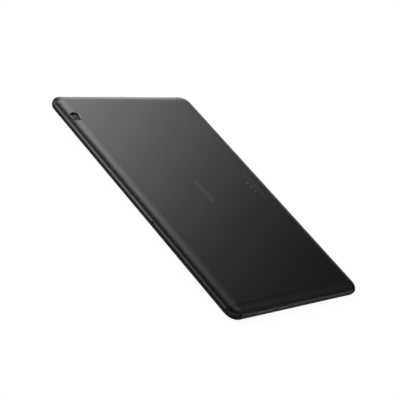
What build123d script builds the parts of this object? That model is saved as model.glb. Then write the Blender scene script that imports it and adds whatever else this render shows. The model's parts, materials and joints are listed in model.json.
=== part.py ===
"""Slim ten-inch-class tablet computer, built as an assembly of separate pieces.

The tablet lies with its screen down on the plane Z = 0 and its back cover facing +Z.
The origin is at the centre of its front glass. X runs along the length, Y along the
width: the plastic antenna strip is the +Y long edge, the keys are on the -X short
edge and the sockets are on the +X short edge. All sizes are in millimetres.
"""
from build123d import *
import os

# Driving dimensions of the case
LENGTH = 229.8
WIDTH = 159.8
BACK_Z = 7.95                 # flat outer face of the back cover
CORNER = 9.8                  # plan radius of the corners, and width of the rounded edge
EDGE_RISE = 4.2               # height of the rounded edge
SPRING_Z = BACK_Z - EDGE_RISE # where the upright flank turns into the rounded edge
SEAM_Z = 3.0                  # lower edge of the back shell
WALL_SIDE = 1.0
WALL_BACK = 0.8
CEILING_Z = BACK_Z - WALL_BACK
STRIP_Y = 67.6                # seam between the metal cover and the antenna strip
STRIP_GAP = 0.1
FLANGE_X = 98.0               # half length of the strip's glue flange
FLANGE_Y = 3.0                # how far it reaches under the metal
FLANGE_THICK = 0.6
HALF_L = LENGTH / 2
HALF_W = WIDTH / 2

# Front frame, glass and display, counted upwards from the glass
FRAME_TOP = 2.9
FRAME_INSET = 0.18            # step between the flank of the shell and of the frame
FRAME_TAPER = 1.92            # how far the frame draws in towards the glass
FRAME_TAPER_Z = 2.5
GLASS_OPENING_INSET = 2.4
GLASS_INSET = 2.45
GLASS_Z = 0.65
BOND_Z = 0.80
SHELF_Z = 2.0
RING_INSET = 3.4
DISPLAY_X = 106.0             # half sizes of the display module
DISPLAY_Y = 67.1
DISPLAY_CLEARANCE = 0.3
ACTIVE_X = 103.4              # half sizes of the lit area
ACTIVE_Y = 64.6
LCD_Z = 1.75
DIFFUSER_Z = 2.00
GUIDE_Z = 2.45
REFLECTOR_Z = 2.55
TRAY_WALL = 0.3

# Middle frame
MID_Z = 3.30
MID_INSET = 1.35

# Battery
CELL_Z0 = 3.45
CELL_Z1 = 6.45
CELL_LENGTH = 65.4
CELL_Y0 = -52.0
CELL_Y1 = 38.0
CELL_GAP = 0.8

# Main board
BOARD_Z0 = 3.9
BOARD_Z1 = 4.7
BOARD_X0 = 70.0
BOARD_X1 = 106.5
BOARD_Y0 = -57.0
BOARD_Y1 = 61.0

# Keys on the -X edge
KEY_Z = 4.6
KEY_HEIGHT = 1.76
KEY_GAP = 0.2
KEY_PROUD = 0.2
KEY_ROUNDING = 0.18
KEY_FLANGE_X = -112.0
KEY_FLANGE = 0.5
POWER_Y = 22.7
POWER_LENGTH = 10.6
VOLUME_Y = 45.6
VOLUME_LENGTH = 18.0
VOLUME_PIVOT_X = KEY_FLANGE_X + KEY_FLANGE
SWITCH_X = -110.55
SWITCH_DEPTH = 0.65
FLEX = 0.15

# Rear camera
CAMERA_X = 89.3
CAMERA_Y = 73.25
CAMERA_R = 4.5
CAMERA_GAP = 0.05             # between the ring and its hole in the strip
RING_Z = 7.68                 # middle of the ring's flat top
RING_TILT = 8.0               # degrees, so that the ring follows the fall of the strip
RING_LAND_OUTER_R = 4.24
RING_LAND_INNER_R = 3.8
WINDOW_SEAT_R = 3.15
WINDOW_THICK = 0.4
SEAT_R = 2.8
RING_BORE_R = 3.35
# depths below the ring's top
RING_EDGE_DEPTH = 0.12
RING_DRAFT_DEPTH = 0.8
WINDOW_LIP_DEPTH = 0.6
SEAT_DEPTH = 1.05
SEAT_BOTTOM_DEPTH = 1.25
RING_FOOT_DEPTH = 2.1
CAMERA_HALF = 4.25            # half width of the camera module
CAMERA_WELL = 4.4
MODULE_Z0 = 2.1
MODULE_Z1 = 4.85
BARREL_R = 2.4
BARREL_Z0 = 3.85
BARREL_Z1 = 5.95

# Front camera and light sensor, behind the bezel of the glass
FRONT_CAMERA_Y = 73.6
FRONT_CAMERA_HALF = 2.75
FRONT_WELL = 2.9
SENSOR_X = 14.0
SENSOR_HALF_X = 2.1           # half sizes of the sensor's well
SENSOR_HALF_Y = 1.1

# Ribbons that run round the +X end of the display
DISPLAY_RIBBON_Y = (-42.0, -22.0)
TOUCH_RIBBON_Y = (44.0, 56.0)
RIBBON_SLOT = 0.6             # room beside each ribbon
RIBBON_SLOT_X = 109.0

# Sockets on the +X edge
JACK_Y = -65.0
JACK_Z = 5.1
JACK_R = 1.78
JACK_MOUTH_X = 106.4
JACK_BORE = 9.0
JACK_GAP = 0.12
JACK_BODY = 3.0               # half width of the jack's body
JACK_NOSE_R = 2.6
USB_Y = 0.0
USB_Z = 4.9
USB_MOUTH_X = 113.4
USB_DEPTH = 5.0
USB_HALF = 3.75               # half width of the metal shell
USB_HEIGHT = 2.5
USB_SHEET = 0.25
USB_OPENING = 0.35            # room between the shell and its opening in the case
USB_PINS = 5
USB_PIN_PITCH = 0.65
CARD_Z = 4.75
CARD_DOOR_Y0 = 25.5
CARD_DOOR_Y1 = 41.0
CARD_DOOR_HEIGHT = 2.0
CARD_GAP = 0.12
CARD_TRAY_X0 = 96.0
CARD_TRAY_Y0 = 26.4
CARD_TRAY_Y1 = 38.0
EJECT_Y = 39.5

# Sound
SPEAKER_X = (-86.0, 74.0)
SPEAKER_Y0 = -76.0
SPEAKER_Y1 = -62.0
SOUND_Z = 4.45
SOUND_HOLES = 9
SOUND_PITCH = 1.8
SOUND_HOLE_R = 0.55
MIC_X = -20.4
MIC_Z = 3.85
MIC_HOLE_R = 0.45

# Screws
SCREW_R = 0.7
SCREW_GAP = 0.05
SCREW_HEAD = 0.45             # height of the heads
MID_HEAD_R = 1.25
BOARD_HEAD_R = 1.3
CROSS_DEPTH = 0.2
CROSS_HALF = 0.7              # half length and half width of the driver slots
CROSS_WIDTH = 0.12
MID_SCREWS = [(x, y) for x in (-109.2, 109.2) for y in (-52.0, -14.0, 60.0)]
MID_SCREWS += [(x, 72.0) for x in (-95.0, -40.0, 40.0, 100.0)]
MID_SCREWS += [(x, -72.0) for x in (-62.0, -8.0, 48.0, 100.0)]
BOARD_SCREWS = [(72.6, -54.4), (103.8, -54.4), (72.6, 58.4), (103.8, 58.4), (103.8, 14.0)]

RING_PLACE = Pos(CAMERA_X, CAMERA_Y, RING_Z) * Rot(-RING_TILT, 0, 0)

parts = {}


def span(x0, x1, y0, y1, z0, z1):
    """A block between two opposite corners."""
    size = Box(x1 - x0, y1 - y0, z1 - z0)
    return Pos((x0 + x1) / 2, (y0 + y1) / 2, (z0 + z1) / 2) * size


def post(x, y, radius, z0, z1):
    """An upright round post."""
    return Pos(x, y, (z0 + z1) / 2) * Cylinder(radius, z1 - z0)


def slab(half_x, half_y, radius, z0, z1):
    """A flat plate centred on the origin, with rounded corners."""
    outline = RectangleRounded(2 * half_x, 2 * half_y, radius)
    return Pos(0, 0, z0) * extrude(outline, z1 - z0)


def inset_slab(inset, z0, z1):
    """A plate whose outline runs parallel to the case, a given distance inside it."""
    return slab(HALF_L - inset, HALF_W - inset, CORNER - inset, z0, z1)


def x_stadium(y0, y1, z, height, x0, x1):
    """A bar along X whose section is a slot with round ends, long in Y."""
    outline = SlotOverall(y1 - y0, height)
    bar = extrude(Plane.YZ * outline, x1 - x0)
    return Pos(x0, (y0 + y1) / 2, z) * bar


def x_rod(x0, x1, y, z, radius):
    """A round rod along X."""
    return Pos((x0 + x1) / 2, y, z) * Rot(0, 90, 0) * Cylinder(radius, x1 - x0)


def y_rod(x, y0, y1, z, radius):
    """A round rod along Y."""
    return Pos(x, (y0 + y1) / 2, z) * Rot(90, 0, 0) * Cylinder(radius, y1 - y0)


def screw(x, y, foot, seat, head_r):
    """A cross-head screw whose head sits on a seat."""
    top = seat + SCREW_HEAD
    body = post(x, y, SCREW_R, foot, seat + 0.1) + post(x, y, head_r, seat, top)
    for half_x, half_y in ((CROSS_HALF, CROSS_WIDTH), (CROSS_WIDTH, CROSS_HALF)):
        body -= span(x - half_x, x + half_x, y - half_y, y + half_y, top - CROSS_DEPTH, top + 1)
    return body


def cable(points, radius, bend):
    """A round cable along straight runs joined by arcs."""
    route = FilletPolyline(points, radius=bend)
    start = Plane(origin=route @ 0, z_dir=route % 0)
    return sweep(start * Circle(radius), path=route)


def cushion(section):
    """The case outline given a section: X of the section is the distance outwards
    from the axis of a corner, Y of the section is the height."""
    hub_x = HALF_L - CORNER
    hub_y = HALF_W - CORNER
    upright = Plane.XZ * section
    box = section.bounding_box()
    body = span(-hub_x, hub_x, -hub_y, hub_y, box.min.Y, box.max.Y)
    sides = ((hub_x, hub_y, 0, 2 * hub_y), (-hub_x, hub_y, 90, 2 * hub_x),
             (-hub_x, -hub_y, 180, 2 * hub_y), (hub_x, -hub_y, 270, 2 * hub_x))
    for x, y, turn, run in sides:
        body += Pos(x, y, 0) * Rot(0, 0, turn) * extrude(upright, run)
    corners = ((hub_x, hub_y, 0), (-hub_x, hub_y, 90),
               (-hub_x, -hub_y, 180), (hub_x, -hub_y, 270))
    for x, y, turn in corners:
        body += Pos(x, y, 0) * Rot(0, 0, turn) * revolve(upright, Axis.Z, 90)
    return body


def rounded_case(inset, rise, bottom):
    """The case, or the hollow inside it, with its elliptical upper edge."""
    reach = CORNER - inset
    top = SPRING_Z + rise
    section = make_face([
        Line((0, bottom), (reach, bottom)),
        Line((reach, bottom), (reach, SPRING_Z)),
        EllipticalCenterArc((0, SPRING_Z), reach, rise, start_angle=0, arc_size=90),
        Line((0, top), (0, bottom)),
    ])
    return cushion(section)


def make_shell():
    """Back cover of brushed metal and the plastic strip over the aerials."""
    case = rounded_case(0, EDGE_RISE, SEAM_Z)
    hollow = rounded_case(WALL_SIDE, CEILING_Z - SPRING_Z, SEAM_Z - 0.5)
    shell = case - hollow
    outside = HALF_L + 1
    # key slots
    for y, length in ((POWER_Y, POWER_LENGTH), (VOLUME_Y, VOLUME_LENGTH)):
        reach = length / 2 + KEY_GAP
        height = KEY_HEIGHT + 2 * KEY_GAP
        shell -= x_stadium(y - reach, y + reach, KEY_Z, height, -outside, -HALF_L + 4)
    # sockets and card door
    shell -= x_rod(HALF_L - 9, outside, JACK_Y, JACK_Z, JACK_R + JACK_GAP)
    usb_reach = USB_HALF + USB_OPENING
    shell -= x_stadium(USB_Y - usb_reach, USB_Y + usb_reach, USB_Z, USB_HEIGHT + 0.4,
                       HALF_L - 4, outside)
    shell -= x_stadium(CARD_DOOR_Y0 - CARD_GAP, CARD_DOOR_Y1 + CARD_GAP, CARD_Z,
                       CARD_DOOR_HEIGHT + 2 * CARD_GAP, HALF_L - 4, outside)
    # sound holes
    for centre in SPEAKER_X:
        for step in range(SOUND_HOLES):
            x = centre + (step - (SOUND_HOLES - 1) / 2) * SOUND_PITCH
            shell -= y_rod(x, -HALF_W - 1, -HALF_W + 3, SOUND_Z, SOUND_HOLE_R)
    shell -= y_rod(MIC_X, HALF_W - 3, HALF_W + 1, MIC_Z, MIC_HOLE_R)
    metal = shell & span(-outside, outside, -HALF_W - 1, STRIP_Y - STRIP_GAP / 2, 0, 9)
    strip = shell & span(-outside, outside, STRIP_Y + STRIP_GAP / 2, HALF_W + 1, 0, 9)
    strip -= RING_PLACE * Cylinder(CAMERA_R + CAMERA_GAP, 2 * EDGE_RISE)
    # glue flange of the strip, under the metal
    strip += span(-FLANGE_X, FLANGE_X, STRIP_Y - FLANGE_Y, STRIP_Y + 0.5,
                  CEILING_Z - FLANGE_THICK, CEILING_Z)
    parts["rear_cover"] = metal
    parts["antenna_cover"] = strip


def square_well(x, y, half_x, half_y, bottom):
    """An upright square cut-out that runs up past the middle frame."""
    return span(x - half_x, x + half_x, y - half_y, y + half_y, bottom, 4)


def front_sensor_wells():
    """Cut-outs for the front camera and the light sensor."""
    return (square_well(0, FRONT_CAMERA_Y, FRONT_WELL, FRONT_WELL, 0)
            + square_well(SENSOR_X, FRONT_CAMERA_Y, SENSOR_HALF_X, SENSOR_HALF_Y, 0))


def ribbon_channels(x0, bottom):
    """Cut-outs for the display ribbon and the touch ribbon."""
    channels = [span(x0, RIBBON_SLOT_X, y0 - RIBBON_SLOT, y1 + RIBBON_SLOT, bottom, 4)
                for y0, y1 in (DISPLAY_RIBBON_Y, TOUCH_RIBBON_Y)]
    return channels[0] + channels[1]


def make_front_frame():
    """Black plastic frame that carries the glass and the display."""
    outer = CORNER - FRAME_INSET
    section = make_face([
        Line((0, 0), (outer - FRAME_TAPER, 0)),
        EllipticalCenterArc((outer - FRAME_TAPER, FRAME_TAPER_Z), FRAME_TAPER,
                            FRAME_TAPER_Z, start_angle=270, arc_size=90),
        Line((outer, FRAME_TAPER_Z), (outer, FRAME_TOP)),
        Line((outer, FRAME_TOP), (0, FRAME_TOP)),
        Line((0, FRAME_TOP), (0, 0)),
    ])
    frame = cushion(section)
    frame -= inset_slab(GLASS_OPENING_INSET, -1, BOND_Z)
    frame -= inset_slab(RING_INSET, SHELF_Z, FRAME_TOP + 1)
    frame -= slab(DISPLAY_X + DISPLAY_CLEARANCE, DISPLAY_Y + DISPLAY_CLEARANCE, 1.2, 0, 4)
    for x, y in MID_SCREWS:
        frame += post(x, y, 1.5, SHELF_Z - 0.2, FRAME_TOP)
    for x, y in MID_SCREWS:
        frame -= post(x, y, SCREW_R + SCREW_GAP, 1.1, FRAME_TOP + 1)
    frame -= square_well(CAMERA_X, CAMERA_Y, CAMERA_WELL, CAMERA_WELL, 1.9)
    frame -= front_sensor_wells()
    frame -= ribbon_channels(DISPLAY_X, 0.5)
    parts["front_frame"] = frame


def make_glass():
    """Cover glass with its edge bevels and the two bonds under it."""
    glass = inset_slab(GLASS_INSET, 0, GLASS_Z)
    rims = glass.edges().group_by(Axis.Z)
    glass = chamfer(rims[0], 0.12)
    parts["cover_glass"] = glass
    bond = inset_slab(2.7, GLASS_Z, BOND_Z)
    bond -= slab(DISPLAY_X + 0.6, DISPLAY_Y + 0.6, 1.5, 0, 4)
    bond -= front_sensor_wells()
    bond -= ribbon_channels(DISPLAY_X, 0)
    parts["bezel_adhesive"] = bond
    parts["optical_adhesive"] = slab(DISPLAY_X - 0.6, DISPLAY_Y - 0.6, 1, GLASS_Z, BOND_Z)


def make_display():
    """Liquid crystal cell, backlight sheets and the steel tray that holds them."""
    inner_x = DISPLAY_X - TRAY_WALL - 0.05
    inner_y = DISPLAY_Y - TRAY_WALL - 0.05
    parts["lcd_panel"] = slab(inner_x, inner_y, 0.8, BOND_Z, LCD_Z)
    parts["diffuser_films"] = slab(ACTIVE_X + 1, ACTIVE_Y + 1, 0.5, LCD_Z, DIFFUSER_Z)
    guide_y0 = -ACTIVE_Y - 0.8
    parts["light_guide"] = span(-ACTIVE_X - 1, ACTIVE_X + 1, guide_y0, ACTIVE_Y + 1,
                                DIFFUSER_Z, GUIDE_Z)
    parts["reflector_sheet"] = slab(ACTIVE_X + 1, ACTIVE_Y + 1, 0.5, GUIDE_Z, REFLECTOR_Z)
    tray = slab(DISPLAY_X, DISPLAY_Y, 1, BOND_Z + 0.1, FRAME_TOP)
    tray -= slab(DISPLAY_X - TRAY_WALL, DISPLAY_Y - TRAY_WALL, 0.8, 0, REFLECTOR_Z)
    # exit of the display ribbon
    exit_y0, exit_y1 = DISPLAY_RIBBON_Y
    tray -= span(DISPLAY_X - 1, DISPLAY_X + 1, exit_y0 - 0.4, exit_y1 + 0.4, 0, 1.6)
    parts["backlight_tray"] = tray
    strip = span(-100, 100, -DISPLAY_Y + TRAY_WALL + 0.05, guide_y0 - 0.45, 2.02, 2.12)
    lamps = 40
    pitch = 5.0
    for step in range(lamps):
        x = (step - (lamps - 1) / 2) * pitch
        strip += span(x - 1.5, x + 1.5, guide_y0 - 0.75, guide_y0 - 0.1, 2.1, 2.4)
    parts["led_strip"] = strip


def make_midframe():
    """Pressed magnesium plate that everything behind the display screws to."""
    plate = inset_slab(MID_INSET, FRAME_TOP, MID_Z)
    for x, y in BOARD_SCREWS:
        plate += post(x, y, 1.6, MID_Z - 0.1, BOARD_Z0)
    for x, y in BOARD_SCREWS + MID_SCREWS:
        plate -= post(x, y, SCREW_R + SCREW_GAP, 2, BOARD_Z0 + 1)
    # low ribs around the battery bay
    for x0, x1 in ((-68.4, -67.6), (69.0, 69.6)):
        plate += span(x0, x1, CELL_Y0 + 4, CELL_Y1 - 16, MID_Z - 0.1, MID_Z + 0.5)
    # clearance for cameras, sensor, jack and ribbons
    plate -= square_well(CAMERA_X, CAMERA_Y, CAMERA_WELL + 0.1, CAMERA_WELL + 0.1, 2)
    plate -= square_well(0, FRONT_CAMERA_Y, FRONT_WELL + 0.1, FRONT_WELL + 0.1, 2)
    jack_room = JACK_BODY + 0.3
    plate -= span(JACK_MOUTH_X - JACK_BORE - 0.5, HALF_L, JACK_Y - jack_room,
                  JACK_Y + jack_room, 2, 4)
    plate -= ribbon_channels(DISPLAY_X + RIBBON_SLOT, 2)
    parts["midframe"] = plate
    screws = [screw(x, y, 1.3, MID_Z, MID_HEAD_R) for x, y in MID_SCREWS]
    parts["midframe_screws"] = Compound(screws)


def make_battery():
    """Two flat lithium cells side by side, their protection board and lead."""
    left = span(-CELL_LENGTH - CELL_GAP / 2, -CELL_GAP / 2, CELL_Y0, CELL_Y1, CELL_Z0, CELL_Z1)
    left = fillet(left.edges().filter_by(Axis.Z), 1.5)
    left = fillet(left.edges().filter_by(Axis.Y), 0.9)
    parts["battery_cell_left"] = left
    parts["battery_cell_right"] = Pos(CELL_LENGTH + CELL_GAP, 0, 0) * left
    tapes = [span(x - 24, x + 24, y - 5, y + 5, MID_Z, CELL_Z0)
             for x in (-33, 33) for y in (-38, -7, 24)]
    parts["battery_adhesive"] = Compound(tapes)
    board = span(-60, 60, CELL_Y1 + 0.6, CELL_Y1 + 4.6, CELL_Z0, CELL_Z0 + 0.7)
    for x in (-48, -32, 20, 34, 48):
        board += span(x - 2, x + 2, CELL_Y1 + 1.4, CELL_Y1 + 3.8, CELL_Z0 + 0.6, CELL_Z0 + 1.5)
    # nickel tabs from the cells
    for x in (-55, -10, 10, 55):
        board += span(x - 1.5, x + 1.5, CELL_Y1, CELL_Y1 + 1.2, CELL_Z0 + 0.7, CELL_Z0 + 0.85)
    parts["battery_protection_board"] = board
    leads = []
    for wire in range(4):
        y = CELL_Y1 + 1.6 + wire * 0.75
        leads.append(cable([(60, y, 3.75), (67, y, 3.75), (67.9, y, 5.0), (72.2, y, 5.0)],
                           0.3, 0.8))
    parts["battery_lead"] = Compound(leads)


def shield_can(x0, x1, y0, y1, top):
    """A pressed tin can with no floor and rows of small vent holes in its lid."""
    can = span(x0, x1, y0, y1, BOARD_Z1, top)
    can = fillet(can.edges().filter_by(Axis.Z), 0.8)
    can -= span(x0 + 0.2, x1 - 0.2, y0 + 0.2, y1 - 0.2, BOARD_Z1 - 1, top - 0.2)
    for x in (x0 + 2.5, (x0 + x1) / 2, x1 - 2.5):
        for y in (y0 + 2.5, y1 - 2.5):
            can -= post(x, y, 0.5, top - 1, top + 1)
    return can


def make_main_board():
    """Main circuit board with its chips, cans, connectors and small parts."""
    board = span(BOARD_X0, BOARD_X1, BOARD_Y0, BOARD_Y1, BOARD_Z0, BOARD_Z1)
    board += span(BOARD_X1 - 1, 112.4, USB_Y - 7, USB_Y + 7, BOARD_Z0, BOARD_Z1)
    board -= span(108.2, 113, USB_Y - 3.85, USB_Y + 3.85, 3, 5)
    board -= span(92.4, 107, 23.4, 43.4, 3, 5)
    for x, y in BOARD_SCREWS:
        board -= post(x, y, SCREW_R + 2 * SCREW_GAP, 3, 5)
    parts["main_board"] = board
    screws = [screw(x, y, 3.0, BOARD_Z1, BOARD_HEAD_R) for x, y in BOARD_SCREWS]
    parts["board_screws"] = Compound(screws)
    chip_z = BOARD_Z1
    parts["processor_chip"] = span(78, 92, 2, 16, chip_z, chip_z + 1.0)
    parts["memory_chips"] = Compound([span(78, 89.5, -16, -3, chip_z, chip_z + 0.9),
                                      span(78, 89.5, 24, 36, chip_z, chip_z + 0.9)])
    parts["support_chips"] = Compound([span(79, 86, -39, -32, chip_z, chip_z + 0.8),
                                       span(79, 87, 47, 54, chip_z, chip_z + 0.8)])
    parts["shield_cans"] = Compound([shield_can(75, 96, -19, 20, 6.4),
                                     shield_can(75, 93, -45, -23, 6.4),
                                     shield_can(75, 93, 44, 57, 6.4)])
    connectors = [
        span(71.2, 74.6, CELL_Y1 + 0.9, CELL_Y1 + 4.6, BOARD_Z1, BOARD_Z1 + 1.2)
        - span(71, 72.3, CELL_Y1 + 1.2, CELL_Y1 + 4.3, BOARD_Z1 - 0.05, BOARD_Z1 + 0.7),
        span(98.4, 101.4, -40, -24, BOARD_Z1, BOARD_Z1 + 0.7),
        span(98.4, 101.4, 45.5, 54.5, BOARD_Z1, BOARD_Z1 + 0.7),
        span(82, 90, 58.2, 60.4, BOARD_Z1, BOARD_Z1 + 0.7),
        span(96, 102, 5, 8, BOARD_Z1, BOARD_Z1 + 0.7),
    ]
    parts["board_connectors"] = Compound(connectors)
    pieces = []
    for row in range(8):
        for column in range(5):
            x = 97.6 + column * 1.7
            y = -18.5 + row * 2.6
            pieces.append(span(x, x + 1.0, y, y + 0.5, BOARD_Z1, BOARD_Z1 + 0.5))
    for row in range(4):
        x = 95
        y = -52 + row * 3.4
        pieces.append(span(x, x + 2.5, y, y + 2.5, BOARD_Z1, BOARD_Z1 + 1.2))
    parts["board_capacitors"] = Compound(pieces)


def ribbon(y0, y1, points):
    """A flat ribbon cable: a bent strip of constant width along Y."""
    strip = Polyline(points)
    outline = offset(strip, FLEX / 2, kind=Kind.INTERSECTION, side=Side.BOTH)
    sheet = extrude(Plane.XZ * make_face(outline), y1 - y0)
    return Pos(0, y1, 0) * sheet


def make_ribbons():
    """Ribbons from the display, the touch layer and the two cameras."""
    rise = 107.8
    on_board = BOARD_Z1 + 0.78
    parts["display_ribbon"] = ribbon(*DISPLAY_RIBBON_Y, [
        (DISPLAY_X - TRAY_WALL + 0.08, 1.2), (rise, 1.2), (rise, on_board), (99, on_board)])
    parts["touch_ribbon"] = ribbon(*TOUCH_RIBBON_Y, [
        (DISPLAY_X + 0.5, GLASS_Z + 0.1), (rise, GLASS_Z + 0.1), (rise, on_board),
        (99, on_board)])
    fold_y = 64.0
    low_z = 3.5
    fold_z = BOARD_Z1 + 0.7
    edge = CAMERA_X + 3
    camera = span(CAMERA_X - 3, edge, fold_y, CAMERA_Y - CAMERA_HALF, low_z, low_z + FLEX)
    camera += span(CAMERA_X - 3, edge, fold_y, fold_y + FLEX, low_z, fold_z + FLEX)
    camera += span(83, edge, 59, fold_y + FLEX, fold_z, fold_z + FLEX)
    parts["rear_camera_ribbon"] = camera
    front = span(-2, 2, 63.0, 70.75, MID_Z, MID_Z + FLEX)
    front += span(-2, 76.0, 60.9, 63.4, MID_Z, MID_Z + FLEX)
    parts["front_camera_ribbon"] = front


def key_cap(y, length):
    """A side key: round-ended cap whose face follows the rounded edge of the case a
    little proud of it, and its stop flange."""
    cap = x_stadium(y - length / 2, y + length / 2, KEY_Z, KEY_HEIGHT, -HALF_L - 1,
                    KEY_FLANGE_X)
    cap &= rounded_case(-KEY_PROUD, EDGE_RISE + KEY_PROUD, SEAM_Z)
    rim = cap.edges().filter_by(lambda edge: edge.bounding_box().max.X < KEY_FLANGE_X - 0.5)
    cap = fillet(rim, KEY_ROUNDING)
    reach = length / 2 + 0.8
    cap += span(KEY_FLANGE_X, KEY_FLANGE_X + KEY_FLANGE, y - reach, y + reach,
                KEY_Z - 1.0, KEY_Z + 1.0)
    return cap


def make_keys():
    """Power key, volume rocker, their dome switches, ribbon and bracket."""
    flange_back = KEY_FLANGE_X + KEY_FLANGE
    power = key_cap(POWER_Y, POWER_LENGTH)
    power += x_rod(flange_back, SWITCH_X - 0.4, POWER_Y, KEY_Z, 0.6)
    parts["power_button"] = power
    rocker = key_cap(VOLUME_Y, VOLUME_LENGTH)
    rocker += post(VOLUME_PIVOT_X, VOLUME_Y, 0.5, KEY_Z - 1.0, KEY_Z + 1.0)
    for side in (-6, 6):
        rocker += x_rod(flange_back, SWITCH_X - 0.2, VOLUME_Y + side, KEY_Z, 0.6)
    parts["volume_rocker"] = rocker
    back = SWITCH_X + SWITCH_DEPTH
    switches = []
    for y in (POWER_Y, VOLUME_Y - 6, VOLUME_Y + 6):
        body = span(SWITCH_X + 0.2, back, y - 1.6, y + 1.6, KEY_Z - 1.0, KEY_Z + 1.0)
        switches.append(body + x_rod(SWITCH_X, SWITCH_X + 0.3, y, KEY_Z, 0.8))
    parts["side_key_switches"] = Compound(switches)
    flex = span(back, back + FLEX, 16, 56.7, MID_Z, KEY_Z + 1.2)
    flex -= span(back - 1, back + 1, VOLUME_Y - 0.8, VOLUME_Y + 0.8, KEY_Z - 1.1, 9)
    flex += span(back, BOARD_X0 + 0.8, 55.1, 56.7, MID_Z, MID_Z + FLEX)
    parts["side_key_ribbon"] = flex
    plate = span(back + FLEX, back + FLEX + 0.3, 16, 55, MID_Z, KEY_Z + 1.2)
    plate += span(back + FLEX, back + 4, 18, 54, MID_Z, MID_Z + 0.3)
    fulcrum_x = VOLUME_PIVOT_X + 0.55
    plate += span(fulcrum_x, back + 0.3, VOLUME_Y - 0.7, VOLUME_Y + 0.7,
                  KEY_Z - 1.0, KEY_Z + 1.0)
    parts["side_key_bracket"] = plate


def make_rear_camera():
    """Camera bezel ring, window, module and focusing barrel."""
    profile = Polyline([
        (RING_BORE_R, -RING_FOOT_DEPTH), (CAMERA_R, -RING_FOOT_DEPTH),
        (CAMERA_R, -RING_DRAFT_DEPTH), (CAMERA_R - 0.14, -RING_EDGE_DEPTH),
        (RING_LAND_OUTER_R, 0), (RING_LAND_INNER_R, 0), (WINDOW_SEAT_R, -WINDOW_LIP_DEPTH),
        (WINDOW_SEAT_R, -SEAT_DEPTH), (SEAT_R, -SEAT_DEPTH), (SEAT_R, -SEAT_BOTTOM_DEPTH),
        (RING_BORE_R, -SEAT_BOTTOM_DEPTH)], close=True)
    parts["camera_ring"] = RING_PLACE * revolve(Plane.XZ * make_face(profile), Axis.Z)
    window = Cylinder(WINDOW_SEAT_R - 0.02, WINDOW_THICK)
    window = chamfer(window.edges().group_by(Axis.Z)[-1], 0.06)
    window_depth = SEAT_DEPTH - 0.01 - WINDOW_THICK / 2
    parts["camera_window"] = RING_PLACE * Pos(0, 0, -window_depth) * window
    module = span(CAMERA_X - CAMERA_HALF, CAMERA_X + CAMERA_HALF, CAMERA_Y - CAMERA_HALF,
                  CAMERA_Y + CAMERA_HALF, MODULE_Z0, MODULE_Z1)
    module = fillet(module.edges().filter_by(Axis.Z), 0.5)
    module -= post(CAMERA_X, CAMERA_Y, BARREL_R + 0.25, BARREL_Z0 - 0.25, MODULE_Z1 + 1)
    parts["rear_camera_module"] = module
    barrel = post(CAMERA_X, CAMERA_Y, BARREL_R, BARREL_Z0, BARREL_Z1)
    barrel -= Pos(CAMERA_X, CAMERA_Y, BARREL_Z1 - 0.45) * Cone(0.9, 2.0, 1.0)
    parts["camera_lens_barrel"] = barrel


def make_front_camera():
    """Front camera and ambient light sensor behind the top bezel of the glass."""
    y = FRONT_CAMERA_Y
    half = FRONT_CAMERA_HALF
    parts["front_camera_module"] = (span(-half, half, y - half, y + half, 1.4, 3.9)
                                    - post(0, y, 1.65, 1, 2.6))
    parts["front_camera_lens"] = post(0, y, 1.6, 0.85, 2.6) - Pos(0, y, 1.0) * Cone(1.2, 0.6, 0.5)
    sensor = span(SENSOR_X - 2, SENSOR_X + 2, y - 1, y + 1, 0.9, 2.3)
    parts["light_sensor"] = sensor - post(SENSOR_X, y, 0.7, 0, 1.3)


def make_sockets():
    """Headphone socket and USB socket on the +X edge."""
    back_x = JACK_MOUTH_X - JACK_BORE
    jack = span(back_x - 0.2, JACK_MOUTH_X, JACK_Y - JACK_BODY, JACK_Y + JACK_BODY, SEAM_Z,
                CEILING_Z)
    jack += x_rod(JACK_MOUTH_X - 1, HALF_L, JACK_Y, JACK_Z, JACK_NOSE_R)
    jack &= rounded_case(WALL_SIDE + 0.1, CEILING_Z - SPRING_Z - 0.05, SEAM_Z)
    jack -= x_rod(back_x, HALF_L + 1, JACK_Y, JACK_Z, JACK_R)
    parts["headphone_jack"] = jack
    x0 = USB_MOUTH_X - USB_DEPTH
    shell = x_stadium(USB_Y - USB_HALF, USB_Y + USB_HALF, USB_Z, USB_HEIGHT, x0, USB_MOUTH_X)
    inner = USB_HALF - USB_SHEET
    shell -= x_stadium(USB_Y - inner, USB_Y + inner, USB_Z, USB_HEIGHT - 2 * USB_SHEET,
                       x0 + 0.3, USB_MOUTH_X + 1)
    for side in (-1, 1):
        ear = sorted((USB_Y + side * 3.6, USB_Y + side * 4.9))
        shell += span(109.5, 111.0, ear[0], ear[1], BOARD_Z1, BOARD_Z1 + 0.2)
    parts["usb_port_shell"] = shell
    tongue = span(x0 + 0.3, USB_MOUTH_X - 0.9, USB_Y - 2.0, USB_Y + 2.0, USB_Z - 0.1, USB_Z + 0.5)
    tongue += span(x0 + 0.3, x0 + 1.0, USB_Y - 2.4, USB_Y + 2.4, USB_Z - 0.95, USB_Z + 0.95)
    for pin in range(USB_PINS):
        y = USB_Y + (pin - (USB_PINS - 1) / 2) * USB_PIN_PITCH
        tongue += span(x0 + 0.9, USB_MOUTH_X - 1.2, y - 0.15, y + 0.15, USB_Z - 0.2, USB_Z)
    parts["usb_port_tongue"] = tongue


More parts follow.
